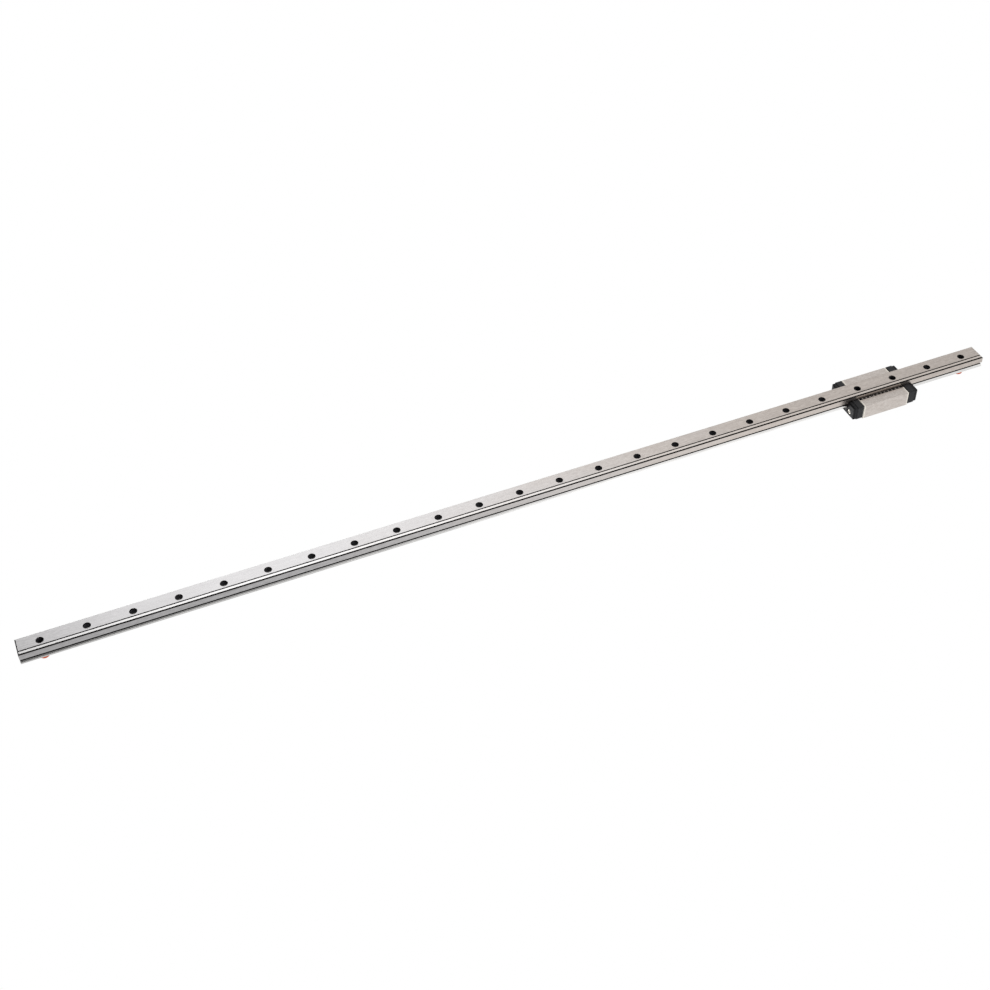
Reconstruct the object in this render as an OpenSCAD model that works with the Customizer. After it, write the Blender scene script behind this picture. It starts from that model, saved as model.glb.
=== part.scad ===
// Miniature linear guide: a profiled steel rail, a long ball-bearing carriage and two stop plugs.
// X runs along the rail, Y across it and Z up. The origin is the centre of the rail's mounting face.
// The carriage is drawn where it stands when its slide joint reads zero.

/* [Rail] */
// Number of mounting holes in the rail
rail_holes = 24; // [8:1:40]
// Distance between neighbouring mounting holes
hole_pitch = 25; // [20:0.5:30]
// Distance from the first or last hole to the rail's end
end_distance = 12.5; // [8:0.5:20]
// Width of the rail
rail_width = 12; // [11.8:0.1:12.4]
// Height of the rail
rail_height = 8; // [7.8:0.1:8.2]
// Diameter of the through hole for the mounting screw
bolt_hole_d = 3.5; // [3:0.1:4]
// Diameter of the counterbore for the screw's head
counterbore_d = 6; // [5.5:0.1:6.5]
// Depth of the counterbore from the rail's top face
counterbore_depth = 4.5; // [3.5:0.1:5]
// Chamfer along the rail's upper edges
rail_top_chamfer = 0.8; // [0.3:0.1:1]
// Chamfer along the rail's lower edges and round its ends
rail_base_chamfer = 0.6; // [0.2:0.1:0.8]

/* [Carriage] */
// Distance from the rail's right end to the middle of the carriage
carriage_from_end = 74.35; // [45:0.05:120]
// Length of the steel block
block_length = 32.4; // [30:0.1:36]
// Width of the steel block
block_width = 27; // [26.8:0.1:28]
// Height from the rail's mounting face to the block's top face
assembly_height = 13; // [12.8:0.1:14]
// Height from the rail's mounting face to the underside of the block
skirt_gap = 3; // [2.6:0.1:3.2]
// Spacing of the four tapped holes, along and across
bolt_spacing = 20; // [18:0.5:20]
// Tapping diameter of the four holes
tapped_d = 2.5; // [2:0.1:2.8]
// Depth of the four tapped holes
tapped_depth = 3.5; // [2.5:0.1:3.8]
// Bevel along the block's lower outer edges
block_bevel = 0.3; // [0.2:0.1:1.2]
// Length of one plastic end cap
cap_length = 4.1; // [4:0.1:6]
// Thickness of one end seal
seal_thickness = 2.4; // [2.2:0.1:3]

/* [Ball circuits] */
// Diameter of a ball
ball_d = 2.381; // [2.3:0.001:2.4]
// Height of the ball rows above the rail's mounting face
ball_height = 5.2; // [5:0.1:5.4]
// How far a ball's centre stands outside the rail's side face
ball_stand_off = 0.5; // [0.4:0.05:0.6]
// Distance between the loaded row and the return row
row_spacing = 4.3; // [4.2:0.05:4.5]

/* [Stop plugs] */
// Diameter of a stop plug
plug_d = 5.9; // [5:0.05:5.9]
// Height of a stop plug above the rail's top face
plug_height = 4; // [2.6:0.1:4.5]

/* [Hidden] */

$fn = 48;
eps = 0.01;
// How far a cutting shape runs past the face that it opens
past = 1;

// Ends and sides: the first is towards +X or +Y, the other towards -X or -Y
right = 1;
left = -1;
rear = 1;
front = -1;

// Rail
rail_length = (rail_holes - 1) * hole_pitch + 2 * end_distance;
first_hole_x = -rail_length / 2 + end_distance;
last_hole_x = -first_hole_x;
hole_mouth_chamfer = 0.45;
mark_offset = 3.5;
mark_width = 0.8;
mark_depth = 0.35;

// Ball tracks: the rail, the block and the caps share one clearance round the balls
ball_r = ball_d / 2;
ball_play = 0.06;
track_r = ball_r + ball_play;
loaded_y = rail_width / 2 + ball_stand_off;
turn_r = row_spacing / 2;
turn_y = loaded_y + turn_r;
return_y = loaded_y + row_spacing;

// Retainer wire, which lies in a relief slot at the bottom of the rail's track
wire_r = 0.2;
wire_gap = 0.05;
wire_y = loaded_y - ball_r - wire_gap - wire_r;
wire_elbow_r = 0.6;
wire_leg = 1.5;
wire_leg_x = block_length / 2 + cap_length - 0.4;
relief_half_height = 0.5;
relief_depth = 0.3;
relief_y = wire_y - wire_r - relief_depth;

// Carriage
carriage_x = rail_length / 2 - carriage_from_end;
block_end = block_length / 2;
cap_end = block_end + cap_length;
carriage_end = cap_end + seal_thickness;
block_edge = 0.5;
block_end_edge = 0.6;
channel_gap = 0.35;
channel_roof = rail_height + 0.9;
skirt_inner_y = rail_width / 2 + 1.5;
tapped_mouth = 0.25;
tapped_tip = 0.3 * tapped_d;

// End cap, which reaches a little below the block, and the slightly smaller end seal
cap_inset = 0.1;
cap_drop = 0.2;
cap_half_width = block_width / 2 - cap_inset;
cap_bottom = skirt_gap - cap_drop;
cap_top = assembly_height - 0.4;
cap_bevel = 0.4;
cap_side_slope = 0.9;
cap_end_edge = 0.25;
seal_inset = 0.3;
seal_end_slope = 0.8;
seal_corner_r = 1.2;
cap_rail_gap = 0.35;
seal_rail_gap = 0.15;
seal_lip_thickness = 0.8;
guide_half_height = 1.6;
guide_play = 0.05;

// Cap screws
screw_y = 7.6;
screw_z = assembly_height - 3.4;
screw_r = 0.95;
screw_length = 8;
screw_hole_r = 1.1;
screw_thread_r = 1;
screw_thread_depth = 4.5;
screw_head_r = 1.75;
screw_head_height = 1.2;
screw_pocket_r = 2.05;
screw_pocket_depth = 1.7;
cross_width = 0.5;
cross_length = 2;
cross_depth = 0.7;
screw_head_edge = 0.35;

// Stop plugs
plug_rim = 0.6;
plug_lead = 0.4;
plug_seat = rail_height - counterbore_depth;

// Places of the balls along one circuit, which is two straight rows and two half turns
half_turn = PI * turn_r;
circuit_length = 2 * (block_length + half_turn);
ball_gap = 0.05;
ball_pitch_least = 2 * turn_r * asin(ball_r / turn_r) * PI / 180 + ball_gap;
ball_count = floor(circuit_length / ball_pitch_least);
ball_pitch = circuit_length / ball_count;

// The point at a distance along a circuit, with the circuit's first row against the rail
function turn_angle(distance) = distance / turn_r * 180 / PI;
function circuit_point(distance) =
    distance < block_length
        ? [distance - block_end, loaded_y]
    : distance < block_length + half_turn
        ? let (a = turn_angle(distance - block_length))
          [block_end + turn_r * sin(a), turn_y - turn_r * cos(a)]
    : distance < 2 * block_length + half_turn
        ? [block_end - (distance - block_length - half_turn), return_y]
        : let (a = turn_angle(distance - 2 * block_length - half_turn))
          [-block_end - turn_r * sin(a), turn_y + turn_r * cos(a)];

// Extrudes a profile drawn across the rail (Y, Z) from one X to another
module along_x(from, to) {
    translate([from, 0, 0]) rotate([90, 0, 90]) linear_extrude(to - from) children();
}

// Extrudes a profile drawn along the rail (X, Z) across it, to a half width each way
module across_y(half_width) {
    rotate([90, 0, 0]) linear_extrude(2 * half_width, center = true) children();
}

// A cylinder along X
module rod_x(from, to, r) {
    translate([from, 0, 0]) rotate([0, 90, 0]) cylinder(h = to - from, r = r);
}

// A rectangle with its four corners cut off at 45 degrees
module cut_rectangle(low, high, cut) {
    polygon([
        [low.x + cut, low.y], [high.x - cut, low.y], [high.x, low.y + cut], [high.x, high.y - cut],
        [high.x - cut, high.y], [low.x + cut, high.y], [low.x, high.y - cut], [low.x, low.y + cut]
    ]);
}

// A rectangle with four round corners
module round_rectangle(low, high, r) {
    translate([low.x + r, low.y]) square([high.x - low.x - 2 * r, high.y - low.y]);
    translate([low.x, low.y + r]) square([high.x - low.x, high.y - low.y - 2 * r]);
    for (x = [low.x + r, high.x - r], y = [low.y + r, high.y - r]) translate([x, y]) circle(r = r);
}

// Outline symmetrical about Z, with a cut at its lower and its upper corners
module body_outline(half_width, bottom, top, lower_cut, upper_cut) {
    right_side = [
        [half_width - lower_cut, bottom], [half_width, bottom + lower_cut],
        [half_width, top - upper_cut], [half_width - upper_cut, top]
    ];
    left_side = [for (i = [3:-1:0]) [-right_side[i].x, right_side[i].y]];
    polygon(concat(right_side, left_side));
}

// Places its children on the carriage, at one end of it
module on_carriage(end = right) {
    translate([carriage_x, 0, 0]) mirror([end == right ? 0 : 1, 0, 0]) children();
}

// Places its children on the rear side or, mirrored, on the front side
module on_side(side) {
    mirror([0, side == rear ? 0 : 1, 0]) children();
}

// The ring that the balls run through when they turn round
module turn_ring() {
    rotate_extrude() translate([turn_r, 0]) circle(r = track_r);
}

// ---- Rail ----

module rail_section() {
    difference() {
        body_outline(rail_width / 2, 0, rail_height, rail_base_chamfer, rail_top_chamfer);
        for (side = [-1, 1]) {
            translate([side * loaded_y, ball_height]) circle(r = track_r);
            translate([side * (relief_y + loaded_y) / 2, ball_height])
                square([loaded_y - relief_y, 2 * relief_half_height], center = true);
        }
        translate([mark_offset, 0])
            polygon([[-mark_width / 2, -eps], [mark_width / 2, -eps], [0, mark_depth]]);
    }
}

module mounting_hole() {
    translate([0, 0, -past]) cylinder(h = rail_height + 2 * past, d = bolt_hole_d);
    translate([0, 0, plug_seat]) cylinder(h = counterbore_depth + past, d = counterbore_d);
    translate([0, 0, -eps])
        cylinder(
            h = hole_mouth_chamfer + eps,
            r1 = bolt_hole_d / 2 + hole_mouth_chamfer + eps,
            r2 = bolt_hole_d / 2
        );
}

module rail() {
    color("#b8b3ae") difference() {
        intersection() {
            along_x(-rail_length / 2, rail_length / 2) rail_section();
            across_y(rail_width)
                cut_rectangle([-rail_length / 2, 0], [rail_length / 2, rail_height], rail_base_chamfer);
        }
        for (i = [0:rail_holes - 1])
            translate([first_hole_x + i * hole_pitch, 0, 0]) mounting_hole();
    }
}

// ---- Stop plugs ----

module stop_plug_at(x) {
    top = rail_height + plug_height;
    r = plug_d / 2;
    color("#e0552b") translate([x, 0, 0]) rotate_extrude() union() {
        polygon([
            [0, plug_seat], [r - plug_lead, plug_seat], [r, plug_seat + plug_lead],
            [r, top - plug_rim], [r - plug_rim, top - plug_rim], [r - plug_rim, top], [0, top]
        ]);
        intersection() {
            translate([r - plug_rim, top - plug_rim]) circle(r = plug_rim);
            translate([r - plug_rim - eps, top - plug_rim - eps]) square(plug_rim + past);
        }
    }
}

module left_stop_plug() { stop_plug_at(first_hole_x); }
module right_stop_plug() { stop_plug_at(last_hole_x); }

// ---- Carriage block ----

module block_section() {
    difference() {
        body_outline(block_width / 2, skirt_gap, assembly_height, block_bevel, block_edge);
        channel_section();
        for (side = [-1, 1]) {
            translate([side * loaded_y, ball_height]) circle(r = track_r);
            translate([side * return_y, ball_height]) circle(r = track_r);
        }
    }
}

// The space for the rail, flared at the bottom of both skirts
module channel_section() {
    inner_y = rail_width / 2 + channel_gap;
    flare_top = skirt_gap + skirt_inner_y - inner_y;
    polygon([
        [-skirt_inner_y, skirt_gap - past], [skirt_inner_y, skirt_gap - past], [skirt_inner_y, skirt_gap],
        [inner_y, flare_top], [inner_y, channel_roof], [-inner_y, channel_roof],
        [-inner_y, flare_top], [-skirt_inner_y, skirt_gap]
    ]);
}

module tapped_hole() {
    cylinder(h = tapped_depth + past, d = tapped_d);
    translate([0, 0, -tapped_tip]) cylinder(h = tapped_tip, r1 = 0, r2 = tapped_d / 2);
    translate([0, 0, tapped_depth - tapped_mouth])
        cylinder(h = tapped_mouth + eps, r1 = tapped_d / 2, r2 = tapped_d / 2 + tapped_mouth + eps);
}

module carriage_block() {
    color("#c8bdb4") translate([carriage_x, 0, 0]) difference() {
        intersection() {
            along_x(-block_end, block_end) block_section();
            linear_extrude(assembly_height + past)
                cut_rectangle([-block_end, -block_width / 2], [block_end, block_width / 2], block_end_edge);
            across_y(block_width)
                cut_rectangle([-block_end, skirt_gap], [block_end, assembly_height], block_end_edge);
        }
        for (x = [-1, 1], y = [-1, 1]) {
            translate([x * bolt_spacing / 2, y * bolt_spacing / 2, assembly_height - tapped_depth])
                tapped_hole();
            translate([0, y * screw_y, screw_z]) mirror([x < 0 ? 1 : 0, 0, 0])
                rod_x(block_end - screw_thread_depth, block_end + past, screw_thread_r);
        }
    }
}

// ---- End caps and end seals ----

// The space for the rail through a cap or a seal, with a tongue left standing in each ball track
module rail_opening(gap) {
    half = rail_width / 2 + gap;
    difference() {
        body_outline(half, 0, rail_height + gap, rail_base_chamfer, rail_top_chamfer);
        for (side = [-1, 1]) translate([side * loaded_y, ball_height]) circle(r = track_r - gap);
    }
}

// The outline that a cap and its seal share, smaller all round by the inset
module cap_outline(inset) {
    body_outline(cap_half_width - inset, cap_bottom + inset, cap_top - inset, cap_bevel, cap_side_slope);
}

module cap_body() {
    intersection() {
        along_x(block_end, cap_end) cap_outline(0);
        linear_extrude(assembly_height)
            cut_rectangle([-cap_end, -cap_half_width], [cap_end, cap_half_width], cap_end_edge);
        across_y(block_width) cut_rectangle([-cap_end, cap_bottom], [cap_end, cap_top], cap_end_edge);
    }
}

module seal_body() {
    half_width = cap_half_width - seal_inset;
    intersection() {
        along_x(cap_end, carriage_end) cap_outline(seal_inset);
        linear_extrude(assembly_height)
            round_rectangle([-carriage_end, -half_width], [carriage_end, half_width], seal_corner_r);
        across_y(block_width) cut_rectangle(
            [-carriage_end, cap_bottom + seal_inset], [carriage_end, cap_top - seal_inset], seal_end_slope
        );
    }
}

module end_cap(end) {
    color("#2b2c31") on_carriage(end) difference() {
        cap_body();
        along_x(block_end - past, cap_end + past) rail_opening(cap_rail_gap);
        for (side = [front, rear]) on_side(side) {
            translate([0, screw_y, screw_z]) rod_x(block_end - past, cap_end + past, screw_hole_r);
            translate([block_end, turn_y, ball_height]) {
                turn_ring();
                cylinder(h = 2 * (guide_half_height + guide_play), r = turn_r + guide_play, center = true);
            }
            translate([wire_leg_x, wire_y, ball_height]) rotate([-90, 0, 0])
                cylinder(h = wire_elbow_r + wire_leg + wire_gap, r = wire_r + wire_gap);
        }
    }
}

module left_end_cap() { end_cap(left); }
module right_end_cap() { end_cap(right); }

module end_seal(end) {
    color("#1d1e21") on_carriage(end) difference() {
        seal_body();
        along_x(cap_end - past, carriage_end - seal_lip_thickness) rail_opening(cap_rail_gap);
        along_x(cap_end - past, carriage_end + past) rail_opening(seal_rail_gap);
        for (side = [-1, 1]) translate([0, side * screw_y, screw_z]) {
            rod_x(cap_end - past, carriage_end + past, screw_hole_r);
            rod_x(carriage_end - screw_pocket_depth, carriage_end + past, screw_pocket_r);
        }
    }
}

module left_end_seal() { end_seal(left); }
module right_end_seal() { end_seal(right); }

// ---- Ball return guides, each the inner wall of one turn ----

module return_guide(end, side) {
    color("#4a4c52") on_carriage(end) on_side(side) translate([block_end, turn_y, ball_height])
        difference() {
            cylinder(h = 2 * guide_half_height, r = turn_r, center = true);
            turn_ring();
            translate([-2 * turn_r, -2 * turn_r, -2 * turn_r]) cube([2 * turn_r, 4 * turn_r, 4 * turn_r]);
        }
}

module left_front_return_guide() { return_guide(left, front); }
module left_rear_return_guide() { return_guide(left, rear); }
module right_front_return_guide() { return_guide(right, front); }
module right_rear_return_guide() { return_guide(right, rear); }

// ---- Retainer wires, which keep the loaded balls in the block when it is off the rail ----

module retainer_wire(side) {
    straight = wire_leg_x - wire_elbow_r;
    color("#d2d0cd") on_carriage() on_side(side) translate([0, wire_y, ball_height]) {
        rod_x(-straight, straight, wire_r);
        for (end = [left, right]) mirror([end == right ? 0 : 1, 0, 0])
            translate([straight, wire_elbow_r, 0]) {
                rotate([0, 0, -90]) rotate_extrude(angle = 90)
                    translate([wire_elbow_r, 0]) circle(r = wire_r);
                translate([wire_elbow_r, 0, 0]) rotate([-90, 0, 0]) cylinder(h = wire_leg, r = wire_r);
            }
    }
}

module front_retainer_wire() { retainer_wire(front); }
module rear_retainer_wire() { retainer_wire(rear); }

// ---- Balls ----

// The balls of one circuit that are in its loaded row, or the ones that are on their way back
module circuit_balls(side, loaded) {
    places = [for (i = [0:ball_count - 1]) (i + 0.5) * ball_pitch];
    color("#dcdcde") on_carriage() on_side(side)
        for (distance = places) if ((distance < block_length) == loaded) {
            point = circuit_point(distance);
            translate([point.x, point.y, ball_height]) sphere(r = ball_r);
        }
}

module front_loaded_balls() { circuit_balls(front, true); }
module rear_loaded_balls() { circuit_balls(rear, true); }
module front_return_balls() { circuit_balls(front, false); }
module rear_return_balls() { circuit_balls(rear, false); }

// ---- Cap screws ----

module cap_screw(end, side) {
    seat = carriage_end - screw_pocket_depth;
    color("#cfccc6") on_carriage(end) on_side(side) translate([seat, screw_y, screw_z]) difference() {
        union() {
            rod_x(-screw_length, eps, screw_r);
            rotate([0, 90, 0]) {
                cylinder(h = screw_head_height - screw_head_edge, r = screw_head_r);
                translate([0, 0, screw_head_height - screw_head_edge])
                    cylinder(h = screw_head_edge, r1 = screw_head_r, r2 = screw_head_r - screw_head_edge);
            }
        }
        for (angle = [0, 90])
            rotate([angle, 0, 0])
                translate([screw_head_height - cross_depth, -cross_length / 2, -cross_width / 2])
                    cube([cross_depth + past, cross_length, cross_width]);
    }
}

module left_front_cap_screw() { cap_screw(left, front); }
module left_rear_cap_screw() { cap_screw(left, rear); }
module right_front_cap_screw() { cap_screw(right, front); }
module right_rear_cap_screw() { cap_screw(right, rear); }

rail();
left_stop_plug();
right_stop_plug();
carriage_block();
left_end_cap();
right_end_cap();
left_end_seal();
right_end_seal();
left_front_return_guide();
left_rear_return_guide();
right_front_return_guide();
right_rear_return_guide();
front_retainer_wire();
rear_retainer_wire();
front_loaded_balls();
rear_loaded_balls();
front_return_balls();
rear_return_balls();
left_front_cap_screw();
left_rear_cap_screw();
right_front_cap_screw();
right_rear_cap_screw();
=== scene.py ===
"""Looks of the miniature linear guide: a finely rounded rail, materials for every piece, studio, camera.

The guide stands on the rail's mounting face. X runs along the rail, Y across it and Z up, in metres. The
camera looks up at the mounting face, so the floor is drawn on its upper side only.
"""

import math

import bmesh
import bpy
from mathutils import Matrix, Vector


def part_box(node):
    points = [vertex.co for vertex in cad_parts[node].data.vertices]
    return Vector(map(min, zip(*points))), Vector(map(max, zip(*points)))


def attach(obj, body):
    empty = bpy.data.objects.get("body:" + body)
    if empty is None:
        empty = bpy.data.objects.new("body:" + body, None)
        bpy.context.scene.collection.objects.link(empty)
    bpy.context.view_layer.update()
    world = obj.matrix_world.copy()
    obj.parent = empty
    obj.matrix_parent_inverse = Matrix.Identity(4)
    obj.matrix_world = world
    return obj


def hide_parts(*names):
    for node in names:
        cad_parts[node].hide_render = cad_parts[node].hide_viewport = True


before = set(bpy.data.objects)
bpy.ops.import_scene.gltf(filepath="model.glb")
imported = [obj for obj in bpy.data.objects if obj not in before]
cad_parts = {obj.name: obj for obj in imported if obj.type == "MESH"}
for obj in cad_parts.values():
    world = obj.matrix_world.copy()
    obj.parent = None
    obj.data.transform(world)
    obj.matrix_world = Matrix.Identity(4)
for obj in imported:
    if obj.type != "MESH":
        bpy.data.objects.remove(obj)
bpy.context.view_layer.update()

MM = 0.001

# ---- Camera: where it stands, and the way it looks ----

CAMERA_PLACE = Vector((-249.6, 574.8, -601.6)) * MM
CAMERA_HEADING = 21.11  # degrees from -Y towards +X
CAMERA_RISE = 44.13  # degrees above the horizon
CAMERA_ROLL = -2.00  # degrees, anticlockwise as the camera sees it
CAMERA_LENS = 54.81
CAMERA_SENSOR = 36
CAMERA_NEAREST, CAMERA_FARTHEST = 0.05, 20  # what it sees lies between these, in metres


def make_camera():
    heading, rise = math.radians(CAMERA_HEADING), math.radians(CAMERA_RISE)
    forward = Vector((
        math.sin(heading) * math.cos(rise),
        -math.cos(heading) * math.cos(rise),
        math.sin(rise),
    ))
    level_right = forward.cross(Vector((0, 0, -1))).normalized()
    right = Matrix.Rotation(math.radians(CAMERA_ROLL), 3, -forward) @ level_right
    up = right.cross(forward)
    data = bpy.data.cameras.new("camera")
    data.lens = CAMERA_LENS
    data.sensor_width = CAMERA_SENSOR
    data.clip_start, data.clip_end = CAMERA_NEAREST, CAMERA_FARTHEST
    camera = bpy.data.objects.new("camera", data)
    axes = Matrix((right, up, -forward)).transposed().to_4x4()
    camera.matrix_world = Matrix.Translation(CAMERA_PLACE) @ axes
    bpy.context.scene.collection.objects.link(camera)
    bpy.context.scene.camera = camera


make_camera()

# ---- Sizes of the rail, which this script draws again with finer curves ----

rail_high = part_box("rail")[1]
RAIL_HALF_LENGTH = rail_high.x
RAIL_HALF_WIDTH = rail_high.y
RAIL_HEIGHT = rail_high.z
HOLE_PITCH = 25 * MM
END_DISTANCE = 12.5 * MM
BOLT_HOLE_R = 1.75 * MM
COUNTERBORE_R = 3 * MM
COUNTERBORE_FLOOR = RAIL_HEIGHT - 4.5 * MM
MOUTH_CHAMFER = 0.45 * MM
TOP_CHAMFER = 0.8 * MM
BASE_CHAMFER = 0.6 * MM
TRACK_R = 1.2505 * MM
TRACK_Y = 6.5 * MM
TRACK_Z = 5.2 * MM
RELIEF_HALF = 0.5 * MM
RELIEF_Y = 4.5595 * MM
MARK_Y = 3.5 * MM
MARK_WIDTH = 0.8 * MM
MARK_DEPTH = 0.35 * MM
RELIEF_MOUTH = TRACK_Y - math.sqrt(TRACK_R ** 2 - RELIEF_HALF ** 2)
ARC_STEPS = 20
HOLE_SEGMENTS = 64
PAST = 1 * MM  # how far a cutting shape runs past the face that it opens

# ---- Sizes of the carriage block, which its material follows ----

block_low, block_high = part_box("carriage_block")
BLOCK_X = (block_low.x + block_high.x) / 2
BLOCK_HALF_LENGTH = block_high.x - BLOCK_X
BLOCK_HALF_WIDTH = block_high.y
BLOCK_TOP = block_high.z
BLOCK_END_CHAMFER = 0.6 * MM
PAINTED_RIM_HIGHLIGHT = 0.6 * MM  # the band past each end chamfer on the block's faces that carries a painted bright highlight
PAINTED_EDGE_HIGHLIGHT = 0.45 * MM  # how far the painted bright highlight on the long top edges reaches from the block's box
TAPPED_HOLE_FROM_MIDDLE = 10 * MM  # along the block and across it
TAPPED_HOLE_R = 1.3 * MM
TAPPED_HOLE_FLOOR = 8 * MM
THREAD_PITCH = 0.5 * MM
THREAD_DEPTH = 0.12 * MM
CHANNEL_HALF_WIDTH = 7.4 * MM
CHANNEL_TOP = 9.2 * MM
CHANNEL_FADE = 0.2 * MM  # half the width over which the painted shade at the channel's sides fades out

# ---- Sizes that the other materials follow ----

SCREW_RING_PITCH = 0.12 * MM
RECESS_HALF_WIDTH = 0.27 * MM
RECESS_REACH = 1.05 * MM
RECESS_EDGE = 0.02 * MM
PLUG_SHADE_END = 0.8 * MM  # how far up from the counterbore's floor the plug's lower end is painted near black as shade
SOFT_EDGE = 0.03 * MM  # half the width over which one finish turns into another


# ---- Mesh helpers ----

def new_object(name, bm):
    mesh = bpy.data.meshes.new(name)
    bm.normal_update()
    bm.to_mesh(mesh)
    bm.free()
    obj = bpy.data.objects.new(name, mesh)
    bpy.context.scene.collection.objects.link(obj)
    return obj


def prism(name, outline, start, step):
    """A closed prism: the outline's points, moved by start, joined to the same points moved on by step."""
    bm = bmesh.new()
    near = [bm.verts.new(start + point) for point in outline]
    far = [bm.verts.new(start + point + step) for point in outline]
    count = len(outline)
    bm.faces.new(near)
    bm.faces.new(reversed(far))
    for i in range(count):
        j = (i + 1) % count
        bm.faces.new((near[j], near[i], far[i], far[j]))
    bmesh.ops.recalc_face_normals(bm, faces=bm.faces)
    return new_object(name, bm)


def turned(bm, profile, centre, segments):
    """Adds a solid of revolution about Z to bm. The profile is (radius, z) from the bottom to the top."""
    rings = []
    for radius, z in profile:
        ring = []
        for k in range(segments):
            angle = 2 * math.pi * k / segments
            offset = Vector((radius * math.cos(angle), radius * math.sin(angle), z))
            ring.append(bm.verts.new(centre + offset))
        rings.append(ring)
    bm.faces.new(reversed(rings[0]))
    bm.faces.new(rings[-1])
    for low, high in zip(rings, rings[1:]):
        for k in range(segments):
            m = (k + 1) % segments
            bm.faces.new((low[k], low[m], high[m], high[k]))


def combine(obj, other, operation):
    """Applies a boolean of obj with other, and removes other."""
    modifier = obj.modifiers.new("combine", "BOOLEAN")
    modifier.operation = operation
    modifier.solver = "EXACT"
    modifier.object = other
    graph = bpy.context.evaluated_depsgraph_get()
    made = bpy.data.meshes.new_from_object(obj.evaluated_get(graph))
    obj.modifiers.clear()
    obj.data = made
    bpy.data.objects.remove(other)


def smooth_below(obj, degrees):
    """Shades smooth across edges flatter than this, and leaves the others sharp."""
    bm = bmesh.new()
    bm.from_mesh(obj.data)
    for face in bm.faces:
        face.smooth = True
    for edge in bm.edges:
        edge.smooth = len(edge.link_faces) == 2 and edge.calc_face_angle(0) < math.radians(degrees)
    bm.to_mesh(obj.data)
    bm.free()


# ---- Rail ----

def rail_outline():
    """The rail's section as points in the YZ plane, anticlockwise from the lower right."""
    reach = math.asin(RELIEF_HALF / TRACK_R)
    opening = math.acos((TRACK_Y - RAIL_HALF_WIDTH) / TRACK_R)

    def arc(start, end):
        return [
            (TRACK_Y - TRACK_R * math.cos(a), TRACK_Z + TRACK_R * math.sin(a))
            for a in (start + (end - start) * i / ARC_STEPS for i in range(ARC_STEPS + 1))
        ]

    side = [
        (RAIL_HALF_WIDTH - BASE_CHAMFER, 0),
        (RAIL_HALF_WIDTH, BASE_CHAMFER),
        *arc(-opening, -reach),
        (RELIEF_Y, TRACK_Z - RELIEF_HALF),
        (RELIEF_Y, TRACK_Z + RELIEF_HALF),
        *arc(reach, opening),
        (RAIL_HALF_WIDTH, RAIL_HEIGHT - TOP_CHAMFER),
        (RAIL_HALF_WIDTH - TOP_CHAMFER, RAIL_HEIGHT),
    ]
    other = [(-y, z) for y, z in reversed(side)]
    mark = [
        (MARK_Y - MARK_WIDTH / 2, 0),
        (MARK_Y, MARK_DEPTH),
        (MARK_Y + MARK_WIDTH / 2, 0),
    ]
    return [Vector((0, y, z)) for y, z in side + other + mark]


def hole_cutters():
    """One mesh with the shape of every mounting hole: mouth, through hole and counterbore."""
    bm = bmesh.new()
    profile = [
        (BOLT_HOLE_R + MOUTH_CHAMFER + PAST, -PAST),
        (BOLT_HOLE_R, MOUTH_CHAMFER),
        (BOLT_HOLE_R, COUNTERBORE_FLOOR),
        (COUNTERBORE_R, COUNTERBORE_FLOOR),
        (COUNTERBORE_R, RAIL_HEIGHT + PAST),
    ]
    holes = round((2 * RAIL_HALF_LENGTH - 2 * END_DISTANCE) / HOLE_PITCH) + 1
    for i in range(holes):
        centre = Vector((-RAIL_HALF_LENGTH + END_DISTANCE + i * HOLE_PITCH, 0, 0))
        turned(bm, profile, centre, HOLE_SEGMENTS)
    return new_object("hole_cutters", bm)


def rail_surface(centre, normal):
    """The kind of surface that a face of the rail is, from where it lies and which way it faces."""
    near = 0.01 * MM
    level = abs(normal.z) > 0.99
    side = abs(centre.y)
    along = (centre.x + RAIL_HALF_LENGTH - END_DISTANCE) % HOLE_PITCH
    from_axis = math.hypot(min(along, HOLE_PITCH - along), centre.y)
    in_counterbore = COUNTERBORE_FLOOR - near < centre.z < RAIL_HEIGHT - near
    if in_counterbore and from_axis < COUNTERBORE_R + near:
        return "machined"
    # The near-black faces: black scale, with painted shade in the holes and the relief slot and painted
    # dark reflection on the chamfers and the reference mark.
    if from_axis < BOLT_HOLE_R + MOUTH_CHAMFER and not level:
        return "scale_and_painted_shade"
    if abs(normal.x) > 0.5:
        return "scale_and_painted_shade" if normal.z < -0.5 else "machined"
    if near < side < RAIL_HALF_WIDTH - near and abs(centre.z - TRACK_Z) < TRACK_R:
        return "track" if side > RELIEF_MOUTH else "scale_and_painted_shade"
    if level:
        return "ground"
    if normal.z < -0.5 or centre.z < MARK_DEPTH:
        return "scale_and_painted_shade"
    if normal.z > 0.5:
        return "machined"
    return "track" if centre.z > TRACK_Z else "ground"


def make_rail():
    start, length = Vector((-RAIL_HALF_LENGTH, 0, 0)), Vector((2 * RAIL_HALF_LENGTH, 0, 0))
    rail = prism("rail_body", rail_outline(), start, length)
    end, height, cut = RAIL_HALF_LENGTH, RAIL_HEIGHT, BASE_CHAMFER  # the ends have the base's chamfer
    side_view = [
        Vector((-end + cut, 0, 0)), Vector((end - cut, 0, 0)),
        Vector((end, 0, cut)), Vector((end, 0, height - cut)),
        Vector((end - cut, 0, height)), Vector((-end + cut, 0, height)),
        Vector((-end, 0, height - cut)), Vector((-end, 0, cut)),
    ]
    start = Vector((0, -RAIL_HALF_WIDTH - PAST, 0))
    combine(rail, prism("end_shape", side_view, start, -2 * start), "INTERSECT")
    combine(rail, hole_cutters(), "DIFFERENCE")
    smooth_below(rail, 30)
    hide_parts("rail")
    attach(rail, "rail")
    return rail


rail_body = make_rail()


# ---- Material helpers ----

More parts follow.
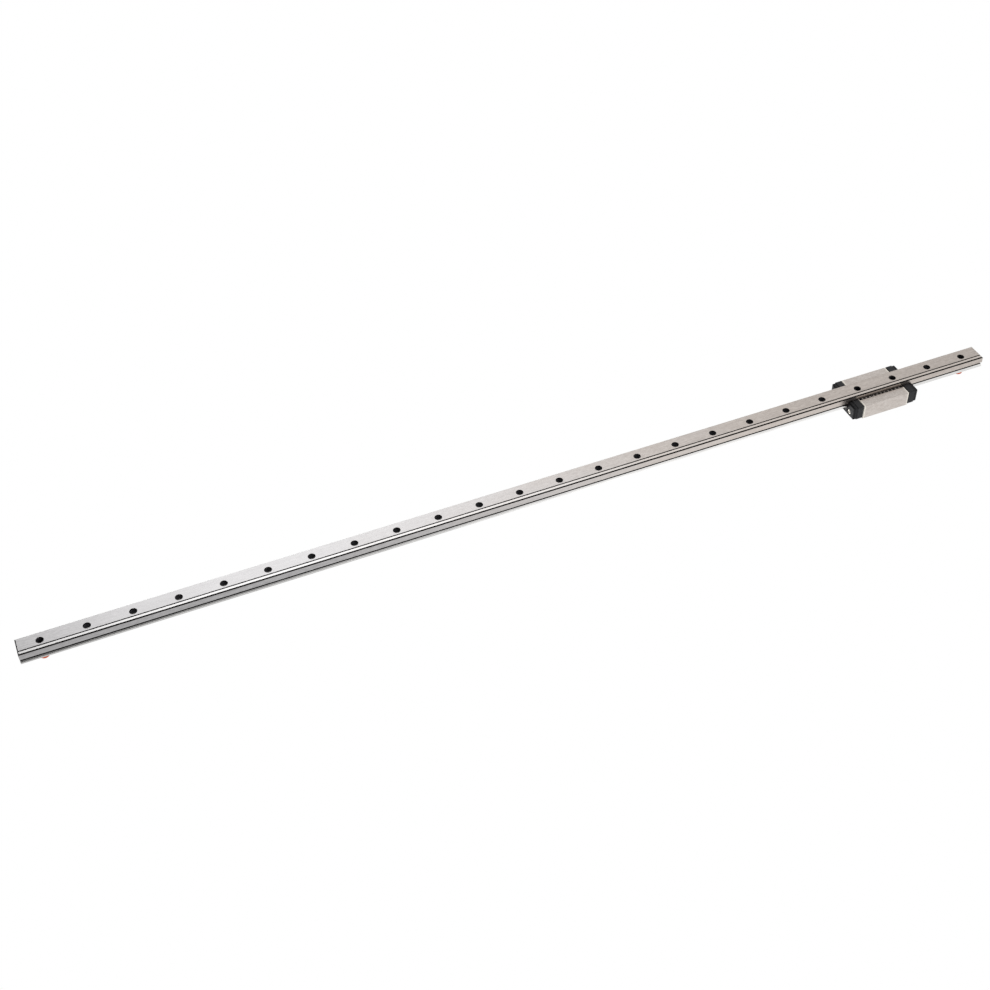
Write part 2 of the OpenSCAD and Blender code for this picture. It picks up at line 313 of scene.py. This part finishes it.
class Shader:
    """A material and the short forms used to build its nodes."""

    def __init__(self, name, **settings):
        self.material = bpy.data.materials.new(name)
        self.material.use_nodes = True
        self.tree = self.material.node_tree
        self.bsdf = self.tree.nodes["Principled BSDF"]
        for socket, value in settings.items():
            self.bsdf.inputs[socket.replace("_", " ")].default_value = value
        self.place = self.tree.nodes.new("ShaderNodeTexCoord").outputs["Object"]

    def node(self, kind, inputs, **settings):
        node = self.tree.nodes.new(kind)
        for key, value in settings.items():
            setattr(node, key, value)
        for key, value in inputs.items():
            self.put(node.inputs[key], value)
        return node

    def put(self, socket, value):
        if isinstance(value, bpy.types.NodeSocket):
            self.tree.links.new(value, socket)
        else:
            socket.default_value = value

    def set(self, socket, value):
        self.put(self.bsdf.inputs[socket], value)

    def math(self, operation, *values):
        inputs = dict(enumerate(values))
        return self.node("ShaderNodeMath", inputs, operation=operation).outputs[0]

    def distance(self, a, b):
        """The distance from the point where a and b are both 0."""
        squares = self.math("ADD", self.math("MULTIPLY", a, a), self.math("MULTIPLY", b, b))
        return self.math("SQRT", squares)

    def split(self, vector):
        return self.node("ShaderNodeSeparateXYZ", {0: vector}).outputs

    def scaled(self, x, y, z):
        """The object coordinates, stretched along each axis."""
        inputs = {0: self.place, 1: (x, y, z)}
        return self.node("ShaderNodeVectorMath", inputs, operation="MULTIPLY").outputs[0]

    def noise(self, vector, detail=3.0, roughness=0.55):
        inputs = {"Vector": vector, "Scale": 1.0, "Detail": detail, "Roughness": roughness}
        return self.node("ShaderNodeTexNoise", inputs).outputs[0]

    def ramp(self, value, low, high, to_low=0.0, to_high=1.0):
        """value from low to high, mapped smoothly to to_low..to_high and held outside."""
        inputs = {0: value, 1: low, 2: high, 3: to_low, 4: to_high}
        return self.node("ShaderNodeMapRange", inputs, interpolation_type="SMOOTHSTEP").outputs[0]

    def mix(self, factor, a, b):
        """A colour between a, at factor 0, and b, at factor 1."""
        node = self.node("ShaderNodeMix", {}, data_type="RGBA")
        for socket, value in ((node.inputs[0], factor), (node.inputs[6], a), (node.inputs[7], b)):
            self.put(socket, value)
        return node.outputs[2]

    def blend(self, factor, a, b):
        """A number between a, at factor 0, and b, at factor 1."""
        return self.node("ShaderNodeMix", {0: factor, 2: a, 3: b}, data_type="FLOAT").outputs[0]

    def bump(self, height, distance, strength=1.0, under=None):
        inputs = {"Height": height, "Distance": distance, "Strength": strength}
        if under is not None:
            inputs["Normal"] = under
        return self.node("ShaderNodeBump", inputs).outputs[0]

    def above(self, value, limit, soft):
        """0 where value is under the limit and 1 where it is over it."""
        return self.ramp(value, limit - soft, limit + soft)

    def below(self, value, limit, soft):
        """1 where value is under the limit and 0 where it is over it."""
        return self.ramp(value, limit - soft, limit + soft, 1.0, 0.0)

    def both(self, *masks):
        made = masks[0]
        for mask in masks[1:]:
            made = self.math("MULTIPLY", made, mask)
        return made

    def either(self, *masks):
        made = masks[0]
        for mask in masks[1:]:
            made = self.math("MAXIMUM", made, mask)
        return made


def rgb(red, green, blue):
    return (red, green, blue, 1.0)


def ground_material():
    """Steel ground lengthwise: long fine lines, broad soft clouds and a slight warm tint towards +X.

    The strip of the mounting face past the reference mark is paler.
    """
    s = Shader("rail_ground", Metallic=1.0)
    x, y, z = s.split(s.place)
    broad = s.noise(s.scaled(22, 40, 40), detail=2.0)
    fine = s.noise(s.scaled(60, 5200, 5200), detail=4.0)
    coarse = s.noise(s.scaled(25, 1500, 1500), detail=2.0)
    mottle = s.noise(s.scaled(330, 800, 800), detail=3.0, roughness=0.6)
    tone = s.math("ADD", s.math("MULTIPLY", fine, 0.45), s.math("MULTIPLY", coarse, 0.55))
    tone = s.math("ADD", s.math("MULTIPLY", tone, 0.55), s.math("MULTIPLY", mottle, 0.45))
    pale = s.mix(s.ramp(tone, 0.32, 0.68), rgb(0.50, 0.49, 0.495), rgb(0.68, 0.67, 0.675))
    beige = s.mix(s.ramp(tone, 0.32, 0.68), rgb(0.51, 0.455, 0.415), rgb(0.67, 0.61, 0.565))
    warm = s.ramp(s.math("ADD", x, s.math("MULTIPLY", broad, 0.12)), -0.1, 0.25)
    colour = s.mix(warm, pale, beige)
    strip = s.both(s.above(y, MARK_Y, SOFT_EDGE), s.below(z, BASE_CHAMFER / 2, SOFT_EDGE))
    strip_colour = s.mix(warm, rgb(0.93, 0.92, 0.91), rgb(0.78, 0.71, 0.655))
    s.set("Base Color", s.mix(s.math("MULTIPLY", strip, 0.55), colour, strip_colour))
    rough = s.ramp(tone, 0.25, 0.75, 0.24, 0.36)
    s.set("Roughness", s.math("ADD", rough, s.math("MULTIPLY", broad, 0.08)))
    lines = s.bump(fine, 0.006 * MM, 0.7)
    s.set("Normal", s.bump(coarse, 0.012 * MM, 0.5, lines))
    return s.material


def scale_and_painted_shade_material():
    """Near-black steel where the grinding wheel doesn't reach: black scale from hardening, with painted
    shade in the holes and the relief slot and painted dark reflection on the chamfers and the mark.
    """
    s = Shader("rail_scale_and_painted_shade", Specular_IOR_Level=0.1)
    y, z = s.split(s.place)[1:]
    speck = s.noise(s.scaled(900, 900, 900), detail=5.0, roughness=0.7)
    # Near black outside the bores: painted dark reflection on the chamfers and the mark and painted shade
    # in the slot, over black scale.
    scale_and_shade_colour = s.mix(s.ramp(speck, 0.35, 0.7), rgb(0.004, 0.0035, 0.003), rgb(0.016, 0.014, 0.013))
    bore = s.both(
        s.below(s.math("ABSOLUTE", y), BOLT_HOLE_R + MOUTH_CHAMFER, SOFT_EDGE),
        s.above(z, MOUTH_CHAMFER, MOUTH_CHAMFER / 2),
    )
    s.set("Base Color", s.mix(bore, scale_and_shade_colour, s.mix(speck, rgb(0.045, 0.045, 0.052), rgb(0.08, 0.08, 0.09))))
    s.set("Roughness", s.ramp(speck, 0.3, 0.7, 0.5, 0.7))
    s.set("Normal", s.bump(speck, 0.02 * MM, 0.6))
    return s.material


def machined_material():
    """Milled or sawn steel: dull, with close tool marks."""
    s = Shader("rail_machined", Metallic=1.0)
    speck = s.noise(s.scaled(900, 900, 900), detail=5.0, roughness=0.7)
    marks = s.noise(s.scaled(300, 300, 4200), detail=3.0)
    tone = s.math("ADD", s.math("MULTIPLY", speck, 0.5), s.math("MULTIPLY", marks, 0.5))
    s.set("Base Color", s.mix(s.ramp(tone, 0.3, 0.7), rgb(0.24, 0.23, 0.22), rgb(0.40, 0.385, 0.37)))
    s.set("Roughness", s.ramp(speck, 0.3, 0.7, 0.38, 0.55))
    s.set("Normal", s.bump(marks, 0.012 * MM, 0.6, s.bump(speck, 0.02 * MM, 0.5)))
    return s.material


def track_material():
    """The steel of the ball tracks and of the bands over them: paler and smoother than the ground faces.
    """
    s = Shader("rail_track", Metallic=1.0)
    fine = s.noise(s.scaled(90, 6500, 6500), detail=4.0)
    film = s.noise(s.scaled(45, 500, 500), detail=3.0)
    s.set("Base Color", s.mix(s.ramp(film, 0.3, 0.7), rgb(0.78, 0.77, 0.76), rgb(0.88, 0.87, 0.855)))
    s.set("Roughness", s.ramp(fine, 0.25, 0.75, 0.16, 0.26))
    s.set("Normal", s.bump(fine, 0.004 * MM, 0.6))
    return s.material


def block_material():
    """Satin ground steel with threaded holes, a painted highlight on the end chamfers, the bands past them
    and the long top edges, and painted shade, near black, in the channel over the rail and in the holes.
    """
    s = Shader("block_steel", Metallic=1.0)
    x, y, z = s.split(s.place)
    from_middle = s.math("ABSOLUTE", s.math("SUBTRACT", x, BLOCK_X))
    fine = s.noise(s.scaled(300, 4200, 4200), detail=4.0)
    broad = s.noise(s.scaled(70, 110, 110), detail=3.0)
    speck = s.noise(s.scaled(1500, 1500, 1500), detail=4.0, roughness=0.7)
    mottle = s.noise(s.scaled(500, 700, 700), detail=3.0, roughness=0.6)
    tone = s.math("ADD", s.math("MULTIPLY", fine, 0.4), s.math("MULTIPLY", mottle, 0.6))
    colour = s.mix(s.ramp(tone, 0.32, 0.68), rgb(0.56, 0.505, 0.465), rgb(0.70, 0.65, 0.61))

    # Painted highlight: the end chamfers, a band past them and the long top edges are painted near white.
    chamfer_start = BLOCK_HALF_LENGTH - BLOCK_END_CHAMFER
    end_chamfer_highlight = s.above(from_middle, chamfer_start, SOFT_EDGE)
    rim = s.above(from_middle, chamfer_start - PAINTED_RIM_HIGHLIGHT, SOFT_EDGE)
    long_edge_highlight = s.both(
        s.above(s.math("ABSOLUTE", y), BLOCK_HALF_WIDTH - PAINTED_EDGE_HIGHLIGHT, SOFT_EDGE),
        s.above(z, BLOCK_TOP - PAINTED_EDGE_HIGHLIGHT, SOFT_EDGE),
    )
    cut = s.either(end_chamfer_highlight, long_edge_highlight)
    colour = s.mix(s.math("MULTIPLY", s.either(cut, rim), 0.9), colour, rgb(0.97, 0.92, 0.83))

    # Painted shade: the insides of the tapped holes and the channel over the rail are painted near black.
    from_hole_x = s.math("SUBTRACT", from_middle, TAPPED_HOLE_FROM_MIDDLE)
    from_hole_y = s.math("SUBTRACT", s.math("ABSOLUTE", y), TAPPED_HOLE_FROM_MIDDLE)
    hole = s.both(
        s.below(s.distance(from_hole_x, from_hole_y), TAPPED_HOLE_R, SOFT_EDGE),
        s.above(z, TAPPED_HOLE_FLOOR, SOFT_EDGE),
    )
    channel = s.both(
        s.below(s.math("ABSOLUTE", y), CHANNEL_HALF_WIDTH, CHANNEL_FADE),
        s.below(z, CHANNEL_TOP, SOFT_EDGE),
    )
    painted_shade_colour = s.mix(speck, rgb(0.012, 0.012, 0.013), rgb(0.035, 0.035, 0.037))
    colour = s.mix(s.math("MULTIPLY", s.either(hole, channel), 0.95), colour, painted_shade_colour)
    s.set("Base Color", colour)
    # The painted highlights are nearly not metallic, so that they stay bright under any light.
    s.set("Metallic", s.blend(cut, 1.0, 0.1))

    rough = s.math("ADD", s.ramp(fine, 0.3, 0.7, 0.27, 0.38), s.math("MULTIPLY", broad, 0.08))
    s.set("Roughness", s.blend(s.either(cut, channel), rough, 0.22))
    thread = s.math("SINE", s.math("MULTIPLY", z, 2 * math.pi / THREAD_PITCH))
    grain = s.bump(fine, 0.008 * MM, 0.6)
    grain = s.bump(speck, 0.004 * MM, 0.5, grain)
    s.set("Normal", s.bump(s.math("MULTIPLY", thread, hole), THREAD_DEPTH, 1.0, grain))
    return s.material


def moulded_material(name, dark, light, grain, depth, roughness, specular):
    """Moulded plastic or rubber: a fine eroded grain, with faint flow marks and paler rubbed spots.

    The grain is the noise's scale per metre, and depth is how deep it is.
    """
    s = Shader(name, Specular_IOR_Level=specular)
    texture = s.noise(s.scaled(grain, grain, grain), detail=4.0, roughness=0.6)
    flow = s.noise(s.scaled(90, 160, 160), detail=3.0)
    rubbed = s.ramp(s.noise(s.scaled(420, 420, 420), detail=5.0, roughness=0.65), 0.55, 0.8)
    tone = s.math("ADD", s.math("MULTIPLY", texture, 0.5), s.math("MULTIPLY", flow, 0.5))
    colour = s.mix(s.ramp(tone, 0.3, 0.7), dark, light)
    paler = tuple(min(1.0, c * 1.8 + 0.01) for c in light[:3]) + (1.0,)
    s.set("Base Color", s.mix(s.math("MULTIPLY", rubbed, 0.35), colour, paler))
    rough = s.math("ADD", roughness, s.math("MULTIPLY", s.math("SUBTRACT", texture, 0.5), 0.3))
    s.set("Roughness", s.math("SUBTRACT", rough, s.math("MULTIPLY", rubbed, 0.08)))
    grains = s.bump(texture, depth, 0.8)
    s.set("Normal", s.bump(flow, 0.03 * MM, 0.3, grains))
    return s.material


def screw_material():
    """Plain stainless steel with turning rings on the head, and painted shade, near black, in the cross
    recess.
    """
    s = Shader("screw_steel", Metallic=1.0)
    low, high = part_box("left_front_cap_screw")
    axis_y, axis_z = abs(low.y + high.y) / 2, (low.z + high.z) / 2
    y, z = s.split(s.place)[1:]
    off_y = s.math("SUBTRACT", s.math("ABSOLUTE", y), axis_y)
    off_z = s.math("SUBTRACT", z, axis_z)
    radius = s.distance(off_y, off_z)
    rings = s.math("SINE", s.math("MULTIPLY", radius, 2 * math.pi / SCREW_RING_PITCH))
    speck = s.noise(s.scaled(1800, 1800, 1800), detail=4.0)
    across = s.math("MINIMUM", s.math("ABSOLUTE", off_y), s.math("ABSOLUTE", off_z))
    # Painted shade: the cross recess is painted near black.
    cross = s.both(
        s.below(across, RECESS_HALF_WIDTH, RECESS_EDGE),
        s.below(radius, RECESS_REACH, RECESS_EDGE),
    )
    bright = s.mix(speck, rgb(0.54, 0.51, 0.46), rgb(0.72, 0.69, 0.63))
    s.set("Base Color", s.mix(s.math("MULTIPLY", cross, 0.95), bright, rgb(0.03, 0.027, 0.024)))
    s.set("Roughness", s.ramp(speck, 0.3, 0.7, 0.24, 0.38))
    s.set("Normal", s.bump(speck, 0.01 * MM, 0.4, s.bump(rings, 0.01 * MM, 0.5)))
    return s.material


def polished_material(name, colour, roughness):
    """Polished steel with a thin film of oil, which leaves faint streaks."""
    s = Shader(name, Metallic=1.0)
    film = s.noise(s.scaled(700, 700, 700), detail=4.0)
    streak = s.noise(s.scaled(2400, 300, 300), detail=3.0)
    tinted = tuple(c * 0.86 for c in colour[:3]) + (1.0,)
    s.set("Base Color", s.mix(s.ramp(film, 0.35, 0.65), colour, tinted))
    s.set("Roughness", s.math("ADD", roughness, s.ramp(streak, 0.4, 0.8, 0.0, 0.12)))
    s.set("Normal", s.bump(streak, 0.003 * MM, 0.3))
    return s.material


def plug_material():
    """Soft orange plastic, slightly see-through at its thin rim, with a faint moulding texture."""
    s = Shader("plug_plastic", Specular_IOR_Level=0.25, Subsurface_Weight=0.15, Subsurface_Scale=0.4 * MM)
    s.bsdf.inputs["Subsurface Radius"].default_value = (1.0, 0.35, 0.12)
    z = s.split(s.place)[2]
    grain = s.noise(s.scaled(1700, 1700, 1700), detail=4.0)
    flow = s.noise(s.scaled(260, 260, 420), detail=3.0)
    colour = s.mix(s.ramp(flow, 0.3, 0.7), rgb(0.80, 0.085, 0.018), rgb(0.94, 0.145, 0.034))
    # The plug's colour is paler towards its top, over the rail's top face.
    paler_top = s.ramp(z, RAIL_HEIGHT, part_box("left_stop_plug")[1].z)
    colour = s.mix(s.math("MULTIPLY", paler_top, 0.25), colour, rgb(0.95, 0.21, 0.06))
    # Painted shade: the plug's lower end, deep in the hole, is painted near black.
    plug_shade = s.below(z, COUNTERBORE_FLOOR + PLUG_SHADE_END, PLUG_SHADE_END / 2)
    s.set("Base Color", s.mix(s.math("MULTIPLY", plug_shade, 0.95), colour, rgb(0.012, 0.008, 0.006)))
    s.set("Roughness", s.ramp(grain, 0.3, 0.7, 0.38, 0.52))
    s.set("Normal", s.bump(grain, 0.012 * MM, 0.6))
    return s.material


def dress():
    """Gives every piece its material."""
    by_word = {
        "end_cap": moulded_material(
            "cap_plastic", rgb(0.011, 0.0115, 0.014), rgb(0.021, 0.0215, 0.026),
            grain=2600, depth=0.02 * MM, roughness=0.52, specular=0.38,
        ),
        "end_seal": moulded_material(
            "seal_rubber", rgb(0.009, 0.009, 0.011), rgb(0.018, 0.018, 0.021),
            grain=1700, depth=0.015 * MM, roughness=0.6, specular=0.3,
        ),
        "return_guide": moulded_material(
            "guide_plastic", rgb(0.05, 0.05, 0.058), rgb(0.085, 0.086, 0.095),
            grain=2000, depth=0.01 * MM, roughness=0.45, specular=0.5,
        ),
        "cap_screw": screw_material(),
        "retainer_wire": polished_material("wire_steel", rgb(0.72, 0.71, 0.69), roughness=0.2),
        "balls": polished_material("ball_steel", rgb(0.82, 0.82, 0.83), roughness=0.05),
        "carriage_block": block_material(),
        "stop_plug": plug_material(),
    }
    for name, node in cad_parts.items():
        for word, material in by_word.items():
            if name.endswith(word):
                node.data.materials.clear()
                node.data.materials.append(material)
    surfaces = {
        "ground": ground_material(),
        "scale_and_painted_shade": scale_and_painted_shade_material(),
        "machined": machined_material(),
        "track": track_material(),
    }
    rail_body.data.materials.clear()
    for material in surfaces.values():
        rail_body.data.materials.append(material)
    kinds = list(surfaces)
    for face in rail_body.data.polygons:
        face.material_index = kinds.index(rail_surface(face.center, face.normal))


dress()


# ---- Studio: a pale floor seen from above only, a white surround and two soft lights ----

LIGHT_SIZE = 1.4
FLOOR_HALF_SIZE = 6.0
FLOOR_DROP = 0.3 * MM


def make_floor():
    """A floor that only the camera sees, and only from above: from below it is clear."""
    bm = bmesh.new()
    bmesh.ops.create_grid(bm, x_segments=1, y_segments=1, size=FLOOR_HALF_SIZE)
    floor = new_object("floor", bm)
    floor.location.z = -FLOOR_DROP
    s = Shader("floor_paint", Roughness=0.7)
    tone = s.noise(s.scaled(1.5, 1.5, 1.5), detail=2.0)
    s.set("Base Color", s.mix(tone, rgb(0.80, 0.80, 0.80), rgb(0.84, 0.84, 0.84)))
    seen_from_below = s.tree.nodes.new("ShaderNodeNewGeometry").outputs["Backfacing"]
    clear = s.tree.nodes.new("ShaderNodeBsdfTransparent").outputs[0]
    choose = s.node("ShaderNodeMixShader", {0: seen_from_below, 1: s.bsdf.outputs[0], 2: clear})
    s.tree.links.new(choose.outputs[0], s.tree.nodes["Material Output"].inputs["Surface"])
    floor.data.materials.append(s.material)
    floor.visible_shadow = False
    floor.visible_diffuse = False
    floor.visible_glossy = False
    floor.visible_transmission = False


# Brightness of the four quarters of the surround, as (X of the direction, brightness)
BELOW_FRONT = ((-0.4, 0.2), (-0.1, 0.2), (0.03, 1.95), (0.26, 1.4), (0.38, 0.74), (0.8, 0.64))
BELOW_REAR = ((-0.4, 0.05), (-0.1, 0.05), (0.05, 0.3), (0.2, 0.42), (0.3, 1.05), (0.8, 0.75))
ABOVE_FRONT = ((-0.6, 1.15), (0.6, 0.95))
ABOVE_REAR = ((-0.4, 0.5), (-0.1, 0.58), (0.2, 0.6), (0.32, 1.35), (0.46, 1.1), (0.62, 0.6))


def make_world():
    """Seen directly it is plain white. The light that it gives changes softly with the direction."""
    world = bpy.data.worlds.new("surround")
    bpy.context.scene.world = world
    world.use_nodes = True
    tree = world.node_tree
    background = tree.nodes["Background"]
    place = tree.nodes.new("ShaderNodeTexCoord").outputs["Generated"]
    split = tree.nodes.new("ShaderNodeSeparateXYZ")
    tree.links.new(place, split.inputs[0])

    def brightness(stops):
        """The brightness as steps between the stops, each smoothed, added up from the first one."""
        total = stops[0][1]
        for (x_from, before), (x_to, after) in zip(stops, stops[1:]):
            ramp = tree.nodes.new("ShaderNodeMapRange")
            ramp.interpolation_type = "SMOOTHSTEP"
            for socket, value in ((1, x_from), (2, x_to), (3, 0.0), (4, after - before)):
                ramp.inputs[socket].default_value = value
            tree.links.new(split.outputs["X"], ramp.inputs[0])
            add = tree.nodes.new("ShaderNodeMath")
            tree.links.new(ramp.outputs[0], add.inputs[0])
            if isinstance(total, float):
                add.inputs[1].default_value = total
            else:
                tree.links.new(total, add.inputs[1])
            total = add.outputs[0]
        return total

    def across(direction, start, end, before, after):
        """A mix from before to after, as that part of the direction goes from start to end."""
        step = tree.nodes.new("ShaderNodeMapRange")
        step.interpolation_type = "SMOOTHSTEP"
        step.inputs[1].default_value, step.inputs[2].default_value = start, end
        tree.links.new(split.outputs[direction], step.inputs[0])
        mix = tree.nodes.new("ShaderNodeMix")
        for source, socket in ((step.outputs[0], 0), (before, 2), (after, 3)):
            tree.links.new(source, mix.inputs[socket])
        return mix.outputs[0]

    below = across("Y", 0.0, 0.35, brightness(BELOW_FRONT), brightness(BELOW_REAR))
    above = across("Y", -0.1, 0.25, brightness(ABOVE_FRONT), brightness(ABOVE_REAR))
    lit = across("Z", -0.2, 0.2, below, above)
    seen = tree.nodes.new("ShaderNodeLightPath").outputs["Is Camera Ray"]
    strength = tree.nodes.new("ShaderNodeMix")
    tree.links.new(seen, strength.inputs[0])
    tree.links.new(lit, strength.inputs[2])
    strength.inputs[3].default_value = 1.0
    background.inputs["Color"].default_value = (1, 1, 1, 1)
    tree.links.new(strength.outputs[0], background.inputs["Strength"])


def soft_light(name, place, power):
    """A large square light at place, turned to the middle of the rail's base."""
    data = bpy.data.lights.new(name, "AREA")
    data.shape = "SQUARE"
    data.size = LIGHT_SIZE
    data.energy = power
    light = bpy.data.objects.new(name, data)
    light.location = place
    light.rotation_mode = "QUATERNION"
    light.rotation_quaternion = (-Vector(place)).to_track_quat("-Z", "Y")
    bpy.context.scene.collection.objects.link(light)


make_floor()
make_world()
soft_light("key_above", (-1.0, -1.3, 1.9), 12)
soft_light("fill_behind", (-1.8, 1.1, 1.8), 6)
bpy.context.scene.view_settings.view_transform = "Standard"
